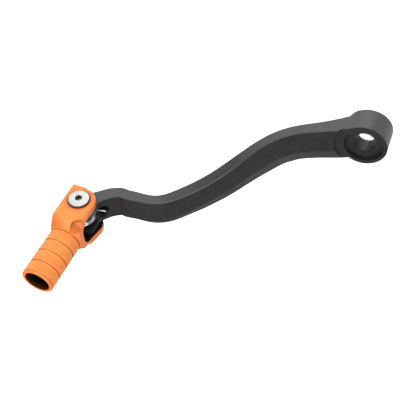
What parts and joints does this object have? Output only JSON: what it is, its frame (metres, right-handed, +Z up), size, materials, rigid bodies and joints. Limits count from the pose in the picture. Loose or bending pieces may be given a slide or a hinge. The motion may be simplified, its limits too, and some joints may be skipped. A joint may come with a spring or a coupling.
{
  "type": "gear shift lever",
  "caption": "Motorcycle gear shift lever: forged S-bend arm with a splined shaft boss and a knurled toe tip that folds on a sprung pivot.",
  "frame": {"origin": "on the shift shaft axis, at the inboard end of its splines", "axes": "+Y inboard along the shift shaft, -X forward to the tip, +Z up along the tip's pivot"},
  "size_m": [0.1684, 0.1087, 0.0959],
  "materials": {
    "arm_anodised": "satin black anodised forging",
    "tip_anodised": "orange anodised, turned and milled",
    "screw_plated": "bright zinc plated",
    "sleeve_steel": "ground",
    "spring_steel": "bright drawn wire",
    "washer_bronze": "smooth bronze"
  },
  "bodies": {
    "arm": {"lever_arm": "arm_anodised", "return_spring": "spring_steel", "upper_thrust_washer": "washer_bronze", "lower_thrust_washer": "washer_bronze"},
    "tip": {"folding_tip": "tip_anodised", "pivot_screw": "screw_plated", "pivot_sleeve": "sleeve_steel"}
  },
  "joints": [
    {"name": "tip_fold", "type": "hinge", "parent": "arm", "child": "tip", "pos_m": [-0.147, -0.0542, -0.0709], "axis": [0, 0, 1], "range_deg": [0, 80], "stiffness_Nm_per_rad": 0.12, "springref_deg": -28.65}
  ]
}
